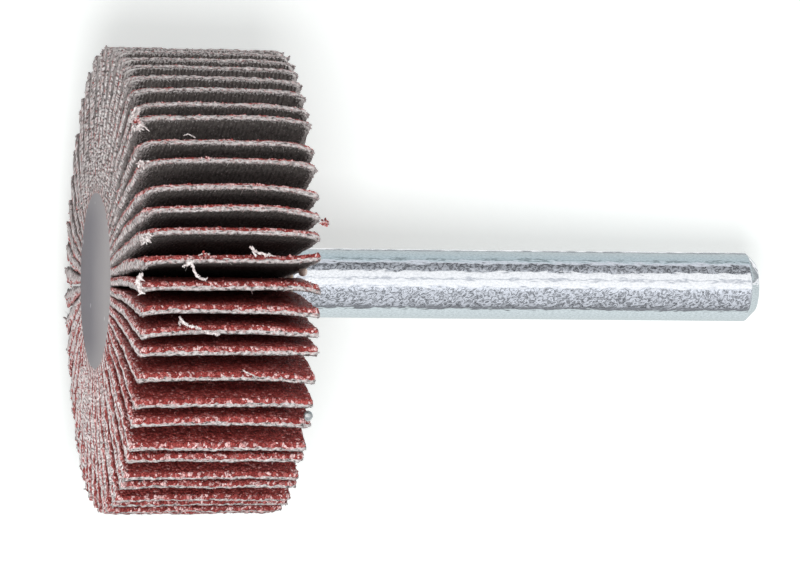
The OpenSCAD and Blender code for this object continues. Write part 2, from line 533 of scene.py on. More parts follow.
@dataclass(frozen=True)
class GritCoat:
    """The working side: angular brown-red grains in glue, some of them clear and pink, many near the tip and edges with
    a painted glint colour, and painted light at the tips of the top flaps.

    Attributes:
        glue: Colour of the glue between the grains.
        dark: Colour of the darker grains.
        red: Colour of the usual grain.
        warm: Colour of the lighter grains.
        rose: Colour of the clear grains, partly a painted glint.
        painted_glint: Painted highlight: colour of a grain that catches the light.
        dust: Colour of the dust that has settled deep between the flaps.
        size: Size of a grain, in millimetres.
    """

    glue: Colour = (0.068, 0.010, 0.009)
    dark: Colour = (0.130, 0.019, 0.017)
    red: Colour = (0.275, 0.040, 0.036)
    warm: Colour = (0.420, 0.088, 0.080)
    rose: Colour = (0.62, 0.27, 0.26)
    painted_glint: Colour = (0.84, 0.56, 0.55)
    dust: Colour = (0.42, 0.24, 0.23)
    size: float = 0.22

    def material(self, width: float, height: float) -> bpy.types.Material:
        """Makes the material.

        Args:
            width: Width of a flap, in millimetres.
            height: Height of a flap, where its cut tip is.

        Returns:
            The material.
        """
        made = bpy.data.materials.new("brown_red_grit")
        tree = Tree(made)
        place, along, up = tree.strip()
        across = along.within(MAP_PITCH)
        stir = tree.node("ShaderNodeTexNoise", {}, {"Vector": place, "Scale": 5.0}, "Color")
        bent = tree.node("ShaderNodeVectorMath", {"operation": "ADD"},
                         {0: place, 1: tree.scaled(stir, (0.16, 0.16, 0.0))})
        cells = {"Vector": bent, "Scale": 1.0 / self.size, "Randomness": 1.0}
        flat = {"voronoi_dimensions": "2D", "feature": "F1"}
        edge = {"voronoi_dimensions": "2D", "feature": "DISTANCE_TO_EDGE"}
        lot = tree.split(tree.node("ShaderNodeTexVoronoi", flat, cells, "Color"), 3)
        rim = tree.node("ShaderNodeTexVoronoi", edge, cells, "Distance")
        near = tree.node("ShaderNodeTexVoronoi", flat, cells, "Distance")
        x = tree.split(tree.node("ShaderNodeTexCoord", {}, {}, "Object"), 1)[0]
        # Painted light: share for the flaps in the upper half of the picture, whose grit is made lighter at the tip.
        painted_top_light = (x / -MM).ramp(-1.0, 8.0)
        # Grain colours are pushed lighter, up to the painted glint colour, towards the tip and the side edges, most at
        # the tip of the flaps high in the picture, where it is painted light.
        paling_and_glints = (up - (height - 1.6)).ramp(0.0, 1.8) * 0.10 + (up - height).ramp(-0.1, 0.1) * (painted_top_light * 0.14 + 0.14)
        paling_and_glints = paling_and_glints + 0.30 - across.least(width - across).ramp(-0.1, 0.9) * 0.30
        colour = (lot[0] * 0.86 + paling_and_glints).colours([(0.0, self.dark), (0.38, self.red), (0.74, self.warm),
                                                (0.90, self.rose), (1.0, self.painted_glint)])
        colour = tree.mix(rim.ramp(0.0, 0.12), self.glue, colour)
        cloudy = tree.noise(place, 1.1, 3.0, 0.6)
        colour = tree.mix(cloudy.ramp(0.40, 0.75) * 0.5, colour, self.dark)
        settled = (1.0 - (up - (height - 5.5)).ramp(0.0, 4.0)) * lot[1].ramp(0.35, 0.9) * 0.24
        colour = tree.mix(settled, colour, self.dust)
        fine = tree.noise(place, 14.0, 1.0)
        height_map = (1.0 - near) * (lot[1] * 0.8 + 0.4) + fine * 0.2
        tree.surface(Base_Color=colour, Roughness=lot[2] * 0.3 + 0.3, Specular_IOR_Level=0.18,
                     Normal=tree.bump(height_map, 0.15))
        return made


@dataclass(frozen=True)
class CutEdge:
    """The cut edge of the cloth: pale yarn ends with dark gaps, dusted with red; painted shade by the cloth side,
    painted light on the lower flaps' side edges.

    Attributes:
        gap: Colour of the hollows between yarn ends, also laid on as painted shade along the edge's border with the
            cloth side.
        yarn: Colour of the cotton.
        dust: Colour of the red dust on it.
        pale: Colour of the palest fibres.
        painted_low_light: Painted light: colour of the fibres on the side edges that point down in the picture, made
            near white.
    """

    gap: Colour = (0.085, 0.070, 0.068)
    yarn: Colour = (0.44, 0.405, 0.400)
    dust: Colour = (0.48, 0.23, 0.22)
    pale: Colour = (0.755, 0.725, 0.72)
    painted_low_light: Colour = (0.95, 0.86, 0.855)

    def material(self, height: float) -> bpy.types.Material:
        """Makes the material.

        Args:
            height: Height of a flap, past which its map unrolls the cut tip.

        Returns:
            The material.
        """
        made = bpy.data.materials.new("cut_cotton_edge")
        tree = Tree(made)
        place, along, up = tree.strip()
        across = along.within(MAP_PITCH)
        on_side = across.ramp(17.0, 18.0)
        past = on_side * (across - SIDE_MAP) + (1.0 - on_side) * (up - height)
        ends = tree.noise(tree.scaled(place, (2.6, 4.5, 1.0)), 1.0, 3.0, 0.65)
        lit = (ends * (on_side * 1.4 + 3.1) - 1.16 - on_side * 0.68).clamped()
        colour = lit.colours([(0.0, self.gap), (0.30, self.yarn), (1.0, self.pale)])
        x = tree.split(tree.node("ShaderNodeTexCoord", {}, {}, "Object"), 1)[0]
        # Painted light: the side edges of the flaps low in the picture are made lighter.
        painted_low_light = (x / MM).ramp(-4.0, 6.0) * on_side * (lit * 0.55 + 0.16)
        colour = tree.mix(painted_low_light, colour, self.painted_low_light)
        dusty = tree.noise(place, 3.1, 2.0, 0.7).ramp(0.52, 0.64) * (0.55 - on_side * 0.15)
        colour = tree.mix(dusty, colour, self.dust)
        # Painted shade: darker towards the edge's border with the cloth side, where the gap to the next flap lies.
        border = (past + ends * 0.22).ramp(0.08, 0.26) + past.ramp(-0.4, -0.5)
        colour = tree.mix((border * 0.85 + 0.15).clamped(), self.gap, colour)
        tree.surface(Base_Color=colour, Roughness=0.92, Specular_IOR_Level=0.08,
                     Normal=tree.bump(lit, 0.10))
        return made


@dataclass(frozen=True)
class LooseCotton:
    """Loose threads and fluff: off-white cotton.

    Attributes:
        colour: Colour of the cotton.
        shade: Its darker parts.
    """

    colour: Colour = (0.78, 0.735, 0.725)
    shade: Colour = (0.50, 0.425, 0.415)

    def material(self) -> bpy.types.Material:
        """Makes the material."""
        made = bpy.data.materials.new("loose_cotton")
        tree = Tree(made)
        place = tree.node("ShaderNodeTexCoord", {}, {}, "Object")
        mottle = tree.noise(place, 3200.0, 2.0, 0.6).ramp(0.32, 0.62)
        colour = tree.mix(mottle, self.shade, self.colour)
        tree.surface(Base_Color=colour, Roughness=0.9, Specular_IOR_Level=0.15)
        return made


@dataclass(frozen=True)
class ZincPlate:
    """Bright zinc on drawn steel: pale and slightly blue, with a fine long grain that breaks up what it mirrors.

    Attributes:
        colour: Colour of the plating.
        dull: Colour of its duller grain.
        grain: Height of the grain, in millimetres.
    """

    colour: Colour = (0.88, 0.90, 0.935)
    dull: Colour = (0.74, 0.765, 0.80)
    grain: float = 0.032

    def material(self) -> bpy.types.Material:
        """Makes the material."""
        made = bpy.data.materials.new("zinc_plate")
        tree = Tree(made)
        place, _, _ = tree.strip()
        specks = tree.noise(tree.scaled(place, (2.5, 1.25, 1.0)), 1.0, 0.6, 0.5)
        spots = tree.noise(tree.scaled(place, (7.5, 3.6, 1.0)), 1.0, 2.0, 0.6)
        lines = tree.noise(tree.scaled(place, (2.2, 0.05, 1.0)), 1.0, 2.0)
        colour = tree.mix(spots.ramp(0.35, 0.62), self.dull, self.colour)
        rough = spots.ramp(0.35, 0.7) * 0.05 + 0.07
        normal = tree.bump(specks + lines * 0.25, self.grain)
        tree.surface(Base_Color=colour, Metallic=1.0, Roughness=rough, Normal=normal)
        return made


@dataclass(frozen=True)
class CastResin:
    """Cast epoxy: lavender grey on the front disc, amber where it shows at the back, with a few pale specks; painted
    light on the disc, painted shade between the flaps.

    Attributes:
        grey: Colour of the front disc's darkest side, the painted shade away from the camera.
        mid: Colour of its middle, in the same painted light gradient.
        painted_lit_side: Painted light: colour of its palest side, towards the camera, also laid on its rim at the top
            and bottom of the picture.
        core: Colour between the flaps, near black: painted shade.
        amber: Colour at the back.
        speck: Colour of the specks.
        turn_z: Height at which the painted shade between the flaps gives way to amber, in millimetres.
    """

    grey: Colour = (0.094, 0.069, 0.080)
    mid: Colour = (0.117, 0.099, 0.115)
    painted_lit_side: Colour = (0.265, 0.240, 0.243)
    core: Colour = (0.060, 0.040, 0.034)
    amber: Colour = (0.42, 0.30, 0.20)
    speck: Colour = (0.66, 0.63, 0.65)
    turn_z: float = 16.0

    def material(self) -> bpy.types.Material:
        """Makes the material."""
        made = bpy.data.materials.new("cast_resin")
        tree = Tree(made)
        place = tree.node("ShaderNodeTexCoord", {}, {}, "Object")
        x, y, z = tree.split(place, 3)
        cloudy = tree.noise(place, 190.0, 2.0)
        # Painted light: the disc is made lighter towards the camera's side, towards -Y.
        near = ((y / MM) * (-1.0 / 16.0) + 0.5 + (cloudy - 0.5) * 0.12).clamped()
        colour = near.colours([(0.0, self.grey), (0.40, self.mid), (0.84, self.painted_lit_side), (1.0, self.painted_lit_side)])
        # Painted light: lighter towards the rim at the top and bottom of the picture.
        outer = (x * x / (MM * MM)).ramp(22.0, 56.0)
        colour = tree.mix(outer * 0.5, colour, self.painted_lit_side)
        dots = {"Vector": place, "Scale": 900.0}
        far = tree.node("ShaderNodeTexVoronoi", {}, dots, "Distance")
        lot = tree.split(tree.node("ShaderNodeTexVoronoi", {}, dots, "Color"), 1)[0]
        specks = (1.0 - far.ramp(0.10, 0.24)) * lot.ramp(0.90, 0.91)
        colour = tree.mix(specks * 0.45, colour, self.speck)
        # Painted shade: near black where the resin lies between the flaps.
        colour = tree.mix((z / MM).ramp(0.6, 0.9), colour, self.core)
        colour = tree.mix((z / MM).ramp(self.turn_z - 0.3, self.turn_z + 0.3), colour, self.amber)
        fine = tree.noise(place, 2600.0, 2.0)
        tree.surface(Base_Color=colour, Roughness=0.42, Normal=tree.bump(fine + cloudy * 2.0, 0.010),
                     Specular_IOR_Level=0.3)
        return made


# The wheel's pieces


def place_piece(mesh: bpy.types.Mesh, materials: Sequence[bpy.types.Material],
                stands_for: Sequence[str] = ()) -> bpy.types.Object:
    """Puts a mesh in the scene as a piece of the wheel.

    Args:
        mesh: The finished mesh, in metres, in the wheel's frame.
        materials: Its materials, in the order of the faces' indices.
        stands_for: The solid parts that it replaces.

    Returns:
        The object.
    """
    made = bpy.data.objects.new(mesh.name, mesh)
    bpy.context.scene.collection.objects.link(made)
    for material in materials:
        mesh.materials.append(material)
    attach(made, BODY)
    if stands_for:
        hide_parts(*stands_for)
    LOG.info("%s: %d faces", mesh.name, len(mesh.polygons))
    return made


class Skin(Enum):
    """Which finish a face of a flap has."""

    BACK = 0
    GRIT = 1
    EDGE = 2


@dataclass
class Flap:
    """One abrasive flap, read from its solid: a strip whose heel is held and whose tip, sides and grit are free.

    Heights run from the heel to the tip, places across run from the front to the back of the wheel, and depth
    runs through the strip from its cloth side at 0 to its grit side at 1.

    Attributes:
        name: Name of the solid part.
        seed: Chooses this flap's own fraying and curl.
        root: Middle of the heel, seen along the spindle, in millimetres.
        way: Direction from heel to tip.
        front: Level of the heel's front side.
        width: Width of the strip.
        height: From heel to tip.
        thick: Thickness of the strip.
        rake: How far the tip lies back from the heel.
        cone: How much lower the tip is at the back.
    """

    name: str
    seed: int
    root: Array
    way: Array
    front: float
    width: float
    height: float
    thick: float
    rake: float
    cone: float
    columns: int = 82
    rows: int = 24
    cloth_share: float = field(init=False)
    side_share: float = field(init=False)
    fray: float = 0.22
    held: float = 1.0
    curl: tuple[float, float] = field(init=False)
    reach: tuple[float, float, float] = field(init=False)
    bend: float = field(init=False)
    bevel: float = field(init=False)
    shag: float = field(init=False)
    plump: float = field(init=False)
    pinch: float = field(init=False)
    blunt: float = field(init=False)
    bulge: float = field(init=False)
    fuzz: int = field(init=False)

    def __post_init__(self) -> None:
        """Draws how far the front and back corners curl towards the cloth side, most on flaps that point up."""
        lot = np.random.default_rng(self.seed)
        lift = float(smooth(np.array((-0.05 - self.way[0]) / 0.4)))
        front = 0.26 * (1.0 - lift) + lift * lot.uniform(0.50, 0.76)
        back = (1.0 - lift) * lot.uniform(0.0, 0.3) + lift * lot.uniform(0.45, 0.85)
        self.curl = (front, back)
        self.reach = (6.5, 1.6, 4.6 - 0.6 * lift)
        self.bend = 0.19 * (1.0 - lift)
        self.bevel = 0.30 * (1.0 - lift)
        self.cloth_share = 0.50 + 0.17 * lift
        near = float(smooth(np.array((-self.way[1] - 0.2) / 0.6)))
        low = float(smooth(np.array((self.way[0] + 0.06) / 0.10)))
        steep = float(smooth(np.array((self.way[0] + 0.97) / 0.35)))
        self.shag = (0.5 + 0.5 * lift) * (0.35 + 0.65 * float(smooth(np.array((0.3 - self.way[1]) / 0.5))))
        away = float(smooth(np.array((self.way[1] - 0.3) / 0.5)))
        self.side_share = 0.82 - 0.20 * lift - 0.20 * near ** 8 * low
        self.plump = 1.0 - 0.72 * near ** 8 * low - 0.42 * near * (1.0 - low) + 0.5 * away
        self.pinch = 0.20 * lift
        self.shag = self.shag + 0.6 * float(smooth(np.array((self.way[1] - 0.88) / 0.10)))
        self.blunt = 0.10 + 0.30 * near ** 0.3 * (1.0 - low) * steep
        self.bulge = 0.27 * near ** 4 * low
        self.fuzz = round(90 * near * (1.0 - low))

    @classmethod
    def from_solid(cls, name: str, seed: int) -> "Flap":
        """Reads a flap's place and size from the solid part.

        Args:
            name: Name of the solid part.
            seed: Chooses this flap's own fraying and curl.

        Returns:
            The flap.
        """
        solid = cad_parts[name].data
        co = np.empty(len(solid.vertices) * 3)
        solid.vertices.foreach_get("co", co)
        co = co.reshape(-1, 3) / MM
        flat = co[:, :2]
        guess = unit(flat.mean(0))
        along = flat @ guess
        heel, tip = along < along.min() + 0.1, along > along.max() - 0.45
        root = flat[heel].mean(0)
        way = unit(flat[tip].mean(0) - root)
        up = (flat - root) @ way
        side = (flat - root) @ np.array([way[1], -way[0]])
        z = co[:, 2]
        back_tip = up[z > z.max() - 0.5].max()
        return cls(name, seed, root, way, z[heel].min(), np.ptp(z[heel]), up.max(), np.ptp(side[heel]),
                   z.max() - z[heel].max(), up.max() - back_tip)

    @property
    def grit_way(self) -> Array:
        """Direction out of the grit side: the heel-to-tip direction turned a quarter clockwise."""
        return np.array([self.way[1], -self.way[0]])

    def _ends(self, x: Array, depth: Array, seed: int) -> Array:
        """How far a cut edge stands out: yarn ends swell in the cloth, grains break the line in the grit."""
        yarn = 0.06 * ripple(x / 0.2, depth * 2.0, seed) + 0.05 * ripple(x / 0.5, depth, seed + 1) + 0.03
        yarn = yarn - 0.14 * smooth((0.2 - depth) / 0.2)
        grain = 0.10 * ripple(x / 0.2, depth * 3.0, seed + 2) - 0.12 * smooth((depth - 0.7) / 0.3)
        return np.where(depth < 0.5 * (self.cloth_share + self.side_share), yarn, grain)

    def surface(self, across: Array, up: Array, depth: Array) -> Array:
        """Place of any point of the strip.

        The flat strip is raked and coned as the solid is. Its cut edges stand out by their yarn ends, its front
        edge is swollen, its corners curl to the cloth side by the square of how far they are out, and the free
        part waves a little.

        Args:
            across: From the front side to the back, in millimetres.
            up: From the heel to the tip, in millimetres.
            depth: From the cloth side at 0 to the grit side at 1.

        Returns:
            The places, in millimetres, in the wheel's frame.
        """
        across, up, depth = np.broadcast_arrays(across, up, depth)
        free = smooth((up - self.held) / 1.4)
        rise = up / self.height
        at_tip = np.exp(-(self.height - up) / self.fray)
        at_front = np.exp(-across / self.fray) * free
        at_back = np.exp(-(self.width - across) / self.fray) * free
        s = self.seed * 16
        height = up - self.cone * rise * across / self.width
        blunt = self.blunt * np.exp(-(self.height - up + across) / 0.42)
        height = height + at_tip * (self._ends(across, depth, s) - 0.20 * at_back) - blunt
        height = height - self.bevel * depth * np.exp(-(self.height - up) / 0.6)
        height = height + 0.04 * rise * ripple(across / 2.3, up * 0.0, s + 13)
        z = self.front + across + self.rake * smooth((rise - 0.06) / 1.7) / smooth(np.array(0.94 / 1.7))
        z = z - at_front * self._ends(up, depth, s + 4) + at_back * self._ends(up, depth, s + 8) + blunt
        z = z - 0.25 * (1.0 - self.plump) * rise ** 2 * np.exp(-across / 4.0)
        wavy = self.plump * (1.0 + 0.6 * ripple(up / 0.6, up * 0.0, s + 5))
        at_sides = 0.46 * wavy * np.exp(-across / 0.5) + 0.16 * np.exp(-(self.width - across) / 0.4)
        swell = smooth((up - 1.2) / 6.5) * at_sides
        swell = swell + 0.05 * (at_tip + at_front) * ripple((across + up) / 0.4, depth * 0.0, s + 3)
        nap = np.where(depth < 0.01, 0.03 * ripple(across / 0.3, up / 0.3, s + 11), 0.0)
        grit = np.where(depth > 0.99, 0.03 * ripple(across / 0.3, up / 0.3, s + 12), 0.0)
        body = self.thick * (1.0 - self.pinch * np.exp(-(self.height - up) / 0.5))
        level = (depth - 0.5) * (body + swell * free) + (nap + grit) * free
        out = smooth((rise - 0.30) / 0.70) ** 1.3
        wide, tight = (np.clip(1.0 - across / reach, 0.0, 1.0) ** 2 for reach in self.reach[:2])
        front_corner = 0.6 * wide + 0.4 * tight
        back_corner = np.clip(1.0 - (self.width - across) / self.reach[2], 0.0, 1.0) ** 2
        level = level - out * (self.curl[0] * front_corner + self.curl[1] * back_corner)
        level = level + 0.10 * rise ** 2 * ripple(across / 4.5, up / 6.0, s + 14) + self.bend * rise ** 2
        level = level + self.bulge * np.sin(math.pi * rise) ** 2
        level = level + 0.07 * free * np.exp(-across / 0.6) * ripple(up / 1.1, up * 0.0, s + 6)
        flat = self.root + height[..., None] * self.way + level[..., None] * self.grit_way
        return np.concatenate([flat, np.maximum(z, 0.0)[..., None]], axis=-1)

    def _sheet(self, across: Array, up: Array, depth: Array, skin: Skin, turned: bool = False) -> Patch:
        """A sheet of the strip, with a map in millimetres that unrolls its edges beside its faces."""
        across, up, depth = np.broadcast_arrays(across, up, depth)
        past = np.where(skin is Skin.BACK, 0.0, depth * self.thick) * (depth.min() != depth.max())
        u = across + np.where(across.min() == across.max(), SIDE_MAP + past, 0.0) + self.seed * MAP_PITCH
        v = up + np.where(up.min() == up.max(), past, 0.0)
        made = Patch(self.surface(across, up, depth), np.stack([u, v], axis=-1) / UV_SPAN, skin.value)
        return made.turned() if turned else made

    def mesh(self) -> bpy.types.Mesh:
        """Builds the strip as a closed skin, with loose yarn ends, hairs and grains on it.

        Rows lie closer towards the tip: row q of n is at height h ((1 + k) q - k q^2), with q from 0 to 1.
        """
        tighter = 0.70
        q = np.linspace(0.0, 1.0, self.rows + 1)
        up = (self.height * ((1 + tighter) * q - tighter * q * q))[:, None]
        across = np.linspace(0.0, self.width, self.columns + 1)[None, :]
        top, low, left, right = (np.array([[v]]) for v in (self.height, 0.0, 0.0, self.width))
        share = self.cloth_share
        heel = np.array([[0.0], [0.5 * share], [share], [0.5 + 0.5 * share], [1.0]])
        sheets = [
            self._sheet(across, up, np.array([[0.0]]), Skin.BACK),
            self._sheet(across, up, np.array([[1.0]]), Skin.GRIT, turned=True),
            self._sheet(across, low, heel, Skin.EDGE, turned=True),
        ]
        for skin in (Skin.EDGE, Skin.GRIT):
            sheets.append(self._sheet(across, top, self._layer(skin, self.cloth_share, across), skin))
            side = self._layer(skin, self.side_share, up.T)
            sheets.append(self._sheet(left, up.T, side, skin))
            sheets.append(self._sheet(right, up.T, side, skin, turned=True))
        return as_mesh(f"{self.name}_strip", sheets + [self.yarn_ends(), self.hairs(), *self.corner_tufts(),
                                                       *self.loose_grains()])

    def _layer(self, skin: Skin, share: float, along: Array) -> Array:
        """Depths of a cut edge's cloth or grit layer, whose common border wavers along it and meets at the corners.

        Args:
            skin: Which of the two layers.
            share: Mean depth of the border away from the corners.
            along: Places along the edge, in millimetres.

        Returns:
            Three rows of depths.
        """
        inner = smooth(along / 0.6) * smooth((along.max() - along) / 0.6)
        waver = 0.13 * ripple(along / 0.33, along * 0.0, self.seed * 16 + 15)
        border = self.cloth_share + inner * (share - self.cloth_share + waver)
        if skin is Skin.EDGE:
            return border * np.array([[0.0], [0.5], [1.0]])
        return 1.0 - (1.0 - border) * np.array([[1.0], [0.5], [0.0]])

    def yarn_ends(self) -> Patch:
        """Stubs of yarn that stand out of the cut edges, one to a yarn, each bent its own way."""
        lot = np.random.default_rng(self.seed + 500)
        pitch = 0.34
        tip = np.arange(0.1, self.width - 0.1, pitch)
        side = np.arange(self.held + 1.4, self.height - 0.1, pitch)
        across = np.concatenate([tip, np.full(len(side), 0.08), np.full(len(side), self.width - 0.08)])
        up = np.concatenate([np.full(len(tip), self.height - 0.08), side, side])
        count = len(across)
        across = across + lot.uniform(-0.08, 0.08, count) * (up > self.height - 0.1)
        up = up + lot.uniform(-0.08, 0.08, count) * (up < self.height - 0.1)
        start = self.surface(across, up, lot.uniform(0.08, 0.45, count))
        out = np.zeros((count, 3))
        out[: len(tip), :2] = self.way
        out[len(tip): len(tip) + len(side), 2] = -1.0
        out[len(tip) + len(side):, 2] = 1.0
        lean = lot.normal(0.0, 0.35, (count, 3)) - np.append(self.grit_way, 0.0) * 0.35
        bend = lot.normal(0.0, 0.35, (count, 3))
        long = lot.uniform(0.03, 0.10, count)[:, None] * self.shag
        ways = np.stack([(out + lean) * long, (out + lean + bend) * long * 0.8], axis=1)
        thick = np.where(up < self.height - 0.1, lot.uniform(0.05, 0.11, count), lot.uniform(0.06, 0.12, count))
        thick = thick[:, None] * np.array([[0.9, 1.0, 0.5]])
        return kept_up(strands(start - out * 0.06, ways, thick, 4, Skin.EDGE.value))

    def hairs(self) -> Patch:
        """Fine hairs of cotton that lie over the cloth side from its cut edges, and a few that stand out."""
        lot = np.random.default_rng(self.seed + 900)
        count = 20 + self.fuzz
        on_tip = lot.random(count) < 0.60 * 20.0 / count
        across = np.where(on_tip, lot.uniform(0.1, self.width - 0.1, count), lot.uniform(0.0, 0.3, count))
        up = np.where(on_tip, self.height - lot.uniform(0.0, 0.25, count), lot.uniform(3.0, self.height, count))
        start = self.surface(across, up, lot.uniform(0.0, 0.2, count))
        inwards = np.where(on_tip[:, None], -np.append(self.way, 0.0), np.array([0.0, 0.0, 0.8]))
        first = unit(inwards + lot.normal(0.0, 0.5, (count, 3)) - np.append(self.grit_way, 0.0) * 0.5)
        first = np.where((lot.random(count) < 0.04)[:, None], -first, first)
        turn = lot.normal(0.0, 0.5, (count, 3))
        long = lot.uniform(0.08, 0.20, count)[:, None]
        ways = np.stack([(first + turn * k) * long for k in range(2)], axis=1)
        thick = lot.uniform(0.018, 0.036, count)[:, None] * np.array([[1.0, 0.9, 0.5]])
        return kept_up(strands(start, ways, thick, 3, Skin.EDGE.value))

    def corner_tufts(self) -> list[Patch]:
        """Frayed yarn at the two tip corners, drooping to the cloth side."""
        lot = np.random.default_rng(self.seed + 1300)
        made = []
        for across, full in ((0.05, 10), (self.width - 0.05, 6)):
            count = max(1, round(full * self.shag))
            start = self.surface(np.full(count, across), self.height - lot.uniform(0.0, 0.5, count),
                                 lot.uniform(0.1, 0.5, count))
            side = np.array([0.0, 0.0, -1.0 if across < 1.0 else 1.0])
            along = side * 0.5 + np.append(self.way, 0.0) * 0.3 - np.append(self.grit_way, 0.0) * 0.8
            first = along + lot.normal(0.0, 0.35, (count, 3))
            long = lot.uniform(0.06, 0.15, count)[:, None] * lot.uniform(0.6, 1.2) * (0.4 + 0.6 * self.shag)
            long = long * (1.0 if across < 1.0 else 0.7)
            ways = np.stack([first * long, (first + lot.normal(0.0, 0.4, (count, 3))) * long * 0.8], axis=1)
            thick = lot.uniform(0.07, 0.13, count)[:, None] * np.array([[1.0, 1.0, 0.55]])
            made.append(kept_up(strands(start, ways, thick, 4, Skin.EDGE.value)))
        return made

    def loose_grains(self) -> list[Patch]:
        """Grains with real facets over the grit, most near the tip; some scattered over it and those along its cut
        edges take the tip's lighter colours, many of them the painted glint colour.
        """
        lot = np.random.default_rng(self.seed + 1700)
        few = 1.0 if self.way[0] > -0.1 else 0.55 + 0.45 * float(smooth(np.array((self.way[0] + 0.9) / 0.6)))
        near_tip, on_tip, on_sides, spread, glint_grains = 104, round(60 * few), round(44 * few), 70, 30
        deep = self.height - 0.15 - 2.2 * lot.random(near_tip) ** 1.3
        open_across = lot.uniform(0.0, self.width, near_tip + spread)
        open_up = np.concatenate([deep, lot.uniform(5.0, self.height - 1.0, spread)])
        edge_across = np.concatenate([lot.uniform(0.0, self.width, on_tip),
                                      np.where(lot.random(on_sides) < 0.6, 0.0, self.width)])
        edge_up = np.concatenate([np.full(on_tip, self.height), lot.uniform(self.held + 0.8, self.height, on_sides)])
        edge_depth = lot.uniform(self.cloth_share + 0.1, 1.05, on_tip + on_sides)
        glint_across, glint_up = lot.uniform(0.0, self.width, glint_grains), lot.uniform(4.0, self.height - 0.3, glint_grains)
        made = []
        # Grains whose map place lies past the tip take its lighter colours, many of them the painted glint colour.
        for across, up, depth, low in ((open_across, open_up, np.ones(len(open_up)), 1.0),
                                       (glint_across, glint_up, np.ones(glint_grains), self.height + 0.1),
                                       (edge_across, edge_up, edge_depth, self.height + 0.1)):
            size = lot.uniform(0.048, 0.096, len(across))
            middle = self.surface(across, up, depth)
            made.append(kept_up(grains(middle, size, Skin.GRIT.value, lot, low, low + 6.0)))
        return made


@dataclass
class FlapPack:
    """The ring of flaps.

    Attributes:
        back: Finish of the cloth side.
        grit: Finish of the grit side.
        edge: Finish of the cut edges.
    """

    back: ClothBack = ClothBack()
    grit: GritCoat = GritCoat()
    edge: CutEdge = CutEdge()
    flaps: list[Flap] = field(default_factory=list)

    def build(self) -> None:
        """Makes every flap in the place of its solid."""
        names = sorted(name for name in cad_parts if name.startswith("flap_"))
        self.flaps = [Flap.from_solid(name, seed) for seed, name in enumerate(names, 1)]
        self.flaps[1].curl = (self.flaps[1].curl[0], -0.28)
        width, height = self.flaps[0].width, self.flaps[0].height
        finishes = [self.back.material(width, height), self.grit.material(width, height), self.edge.material(height)]
        for flap in self.flaps:
            place_piece(flap.mesh(), finishes, [flap.name])


@dataclass(frozen=True)
class Pulled:
    """One thread that has pulled out of a cut edge.

    Attributes:
        name: Name of its piece.
        flap: Number of the flap that it lies on.
        points: Places on its route: across the strip, beyond its tip, and off its grit side, in millimetres.
        thick: Its radius, in millimetres.
    """

    name: str
    flap: int
    points: tuple[tuple[float, float, float], ...]
    thick: float = 0.10


